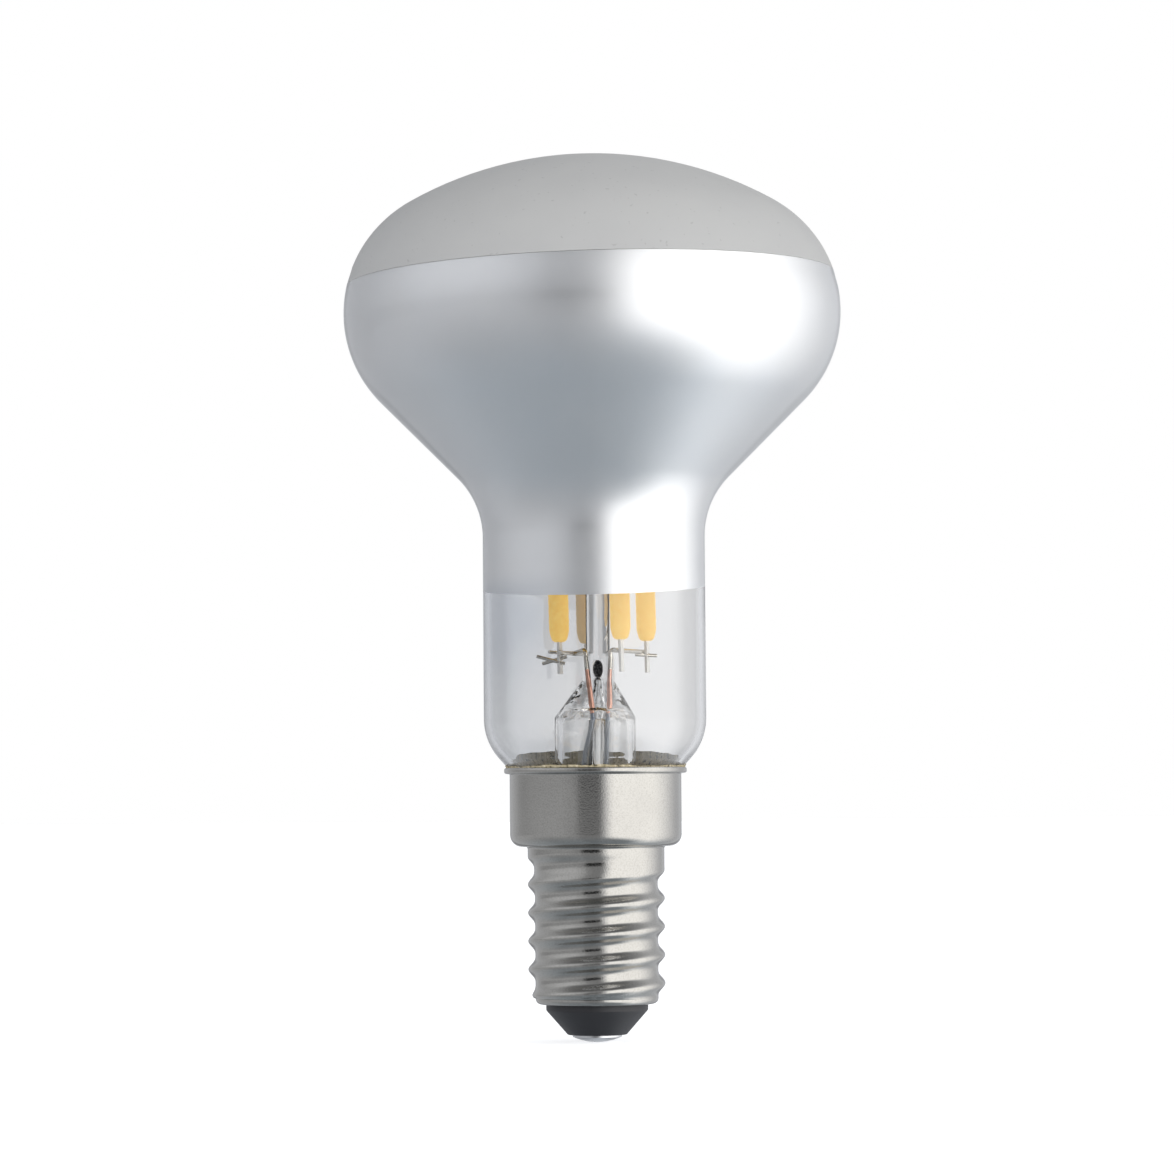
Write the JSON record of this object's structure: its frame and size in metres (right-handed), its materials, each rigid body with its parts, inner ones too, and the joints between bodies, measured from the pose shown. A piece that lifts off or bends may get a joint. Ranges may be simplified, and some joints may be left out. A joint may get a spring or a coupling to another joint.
{
  "type": "led reflector spot bulb",
  "caption": "Mushroom-shaped reflector bulb with a frosted crown, mirrored cone, clear neck with LED filaments on a glass stem, and an E14 screw cap.",
  "frame": {"origin": "tip of the end contact, on the lamp's axis", "axes": "+Z along the lamp's axis from the end contact to the crown; -Y is the side that the picture shows"},
  "size_m": [0.05, 0.05, 0.0889],
  "materials": {
    "bulb_glass": "clear, with a frosted crown and a mirrored reflector zone",
    "stem_glass": "clear",
    "phosphor_coat": "satin silicone",
    "carrier_strip": "fired",
    "nickel_wire": "drawn",
    "copper_clad": "clad",
    "clear_sleeve": "translucent",
    "basing_cement": "crumbly",
    "nickel_plate": "satin plate",
    "black_insulator": "pressed",
    "contact_solder": "bright",
    "board_laminate": "matte",
    "moulded_black": "moulded",
    "capacitor_can": "sleeved",
    "resistor_body": "lacquered"
  },
  "bodies": {
    "root": {"basing_cement": "basing_cement", "bridge_rectifier": "moulded_black", "cross_bar_left": "nickel_wire", "cross_bar_right": "nickel_wire", "driver_board": "board_laminate", "driver_chip": "moulded_black", "end_contact": "contact_solder", "filament_carrier_back": "carrier_strip", "filament_carrier_front": "carrier_strip", "filament_carrier_left": "carrier_strip", "filament_carrier_right": "carrier_strip", "filament_coat_back": "phosphor_coat", "filament_coat_front": "phosphor_coat", "filament_coat_left": "phosphor_coat", "filament_coat_right": "phosphor_coat", "filament_tab_lower_back": "nickel_wire", "filament_tab_lower_front": "nickel_wire", "filament_tab_lower_left": "nickel_wire", "filament_tab_lower_right": "nickel_wire", "filament_tab_upper_back": "nickel_wire", "filament_tab_upper_front": "nickel_wire", "filament_tab_upper_left": "nickel_wire", "filament_tab_upper_right": "nickel_wire", "fuse_resistor": "resistor_body", "glass_envelope": "bulb_glass", "glass_stem": "stem_glass", "inner_lead_left": "nickel_wire", "inner_lead_right": "nickel_wire", "insulator": "black_insulator", "lead_sleeve_left": "clear_sleeve", "lead_sleeve_right": "clear_sleeve", "neutral_lead": "nickel_wire", "outer_lead_left": "nickel_wire", "outer_lead_right": "nickel_wire", "screw_shell": "nickel_plate", "seal_wire_left": "copper_clad", "seal_wire_right": "copper_clad", "smoothing_capacitor": "capacitor_can", "top_wire_lower": "nickel_wire", "top_wire_upper": "nickel_wire"}
  },
  "joints": []
}
